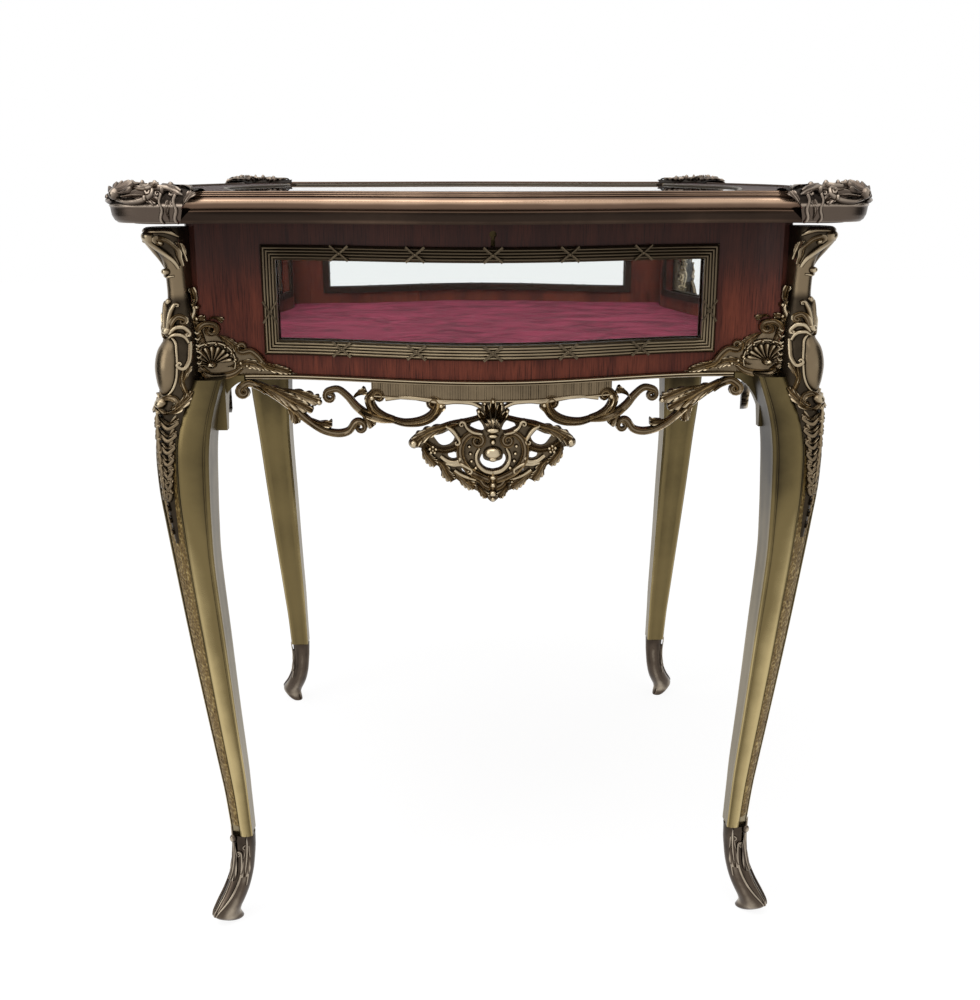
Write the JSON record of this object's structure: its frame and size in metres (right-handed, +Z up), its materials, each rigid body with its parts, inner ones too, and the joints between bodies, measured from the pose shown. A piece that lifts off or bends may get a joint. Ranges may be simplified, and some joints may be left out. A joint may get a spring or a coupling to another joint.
{
  "type": "collectors display table",
  "caption": "Square glazed display table with bowed sides, cabriole legs, cast mounts, pierced aprons and a hinged glass lid over a velvet-lined case.",
  "frame": {"origin": "on the floor under the middle of the table", "axes": "+Z up, the front with the keyhole faces -Y, the lid's hinges are at +Y"},
  "size_m": [0.704, 0.704, 0.76],
  "materials": {
    "kingwood": "French polished",
    "cast_brass": "antique, dark in the recesses",
    "smooth_brass": "rubbed antique",
    "dark_brass": "dark antique",
    "velvet": "crushed velvet",
    "clear_glass": "clear",
    "steel": "plain"
  },
  "bodies": {
    "case": {"front_panel": "kingwood", "right_panel": "kingwood", "rear_panel": "kingwood", "left_panel": "kingwood", "bottom_board": "kingwood", "velvet_pad": "velvet", "front_window_frame": "cast_brass", "right_window_frame": "cast_brass", "rear_window_frame": "cast_brass", "left_window_frame": "cast_brass", "front_inner_bead": "smooth_brass", "right_inner_bead": "smooth_brass", "rear_inner_bead": "smooth_brass", "left_inner_bead": "smooth_brass", "front_pane": "clear_glass", "right_pane": "clear_glass", "rear_pane": "clear_glass", "left_pane": "clear_glass", "front_right_leg": "smooth_brass", "rear_right_leg": "smooth_brass", "rear_left_leg": "smooth_brass", "front_left_leg": "smooth_brass", "front_right_sabot": "cast_brass", "rear_right_sabot": "cast_brass", "rear_left_sabot": "cast_brass", "front_left_sabot": "cast_brass", "front_right_chute": "cast_brass", "rear_right_chute": "cast_brass", "rear_left_chute": "cast_brass", "front_left_chute": "cast_brass", "front_apron": "cast_brass", "right_apron": "cast_brass", "rear_apron": "cast_brass", "left_apron": "cast_brass", "front_spandrel_right": "cast_brass", "front_spandrel_left": "cast_brass", "right_spandrel_right": "cast_brass", "right_spandrel_left": "cast_brass", "rear_spandrel_right": "cast_brass", "rear_spandrel_left": "cast_brass", "left_spandrel_right": "cast_brass", "left_spandrel_left": "cast_brass", "hinge_fixed_leaf_left": "dark_brass", "hinge_fixed_leaf_right": "dark_brass", "hinge_pin_left": "steel", "hinge_pin_right": "steel", "lock_case": "dark_brass"},
    "lid": {"lid_edge_moulding": "cast_brass", "lid_frame": "kingwood", "lid_glass": "clear_glass", "lid_glass_bead": "smooth_brass", "lid_corner_mount_front_right": "cast_brass", "lid_corner_mount_rear_right": "cast_brass", "lid_corner_mount_rear_left": "cast_brass", "lid_corner_mount_front_left": "cast_brass", "hinge_lid_leaf_left": "dark_brass", "hinge_lid_leaf_right": "dark_brass", "lock_link_plate": "dark_brass"},
    "bolt": {"lock_bolt": "steel"}
  },
  "joints": [
    {"name": "lid_hinge", "type": "hinge", "parent": "case", "child": "lid", "pos_m": [0, 0.322, 0.7204], "axis": [-1, 0, 0], "range_deg": [0, 95]},
    {"name": "bolt_slide", "type": "slide", "parent": "case", "child": "bolt", "axis": [1, 0, 0], "range_m": [0, 0.008]}
  ]
}
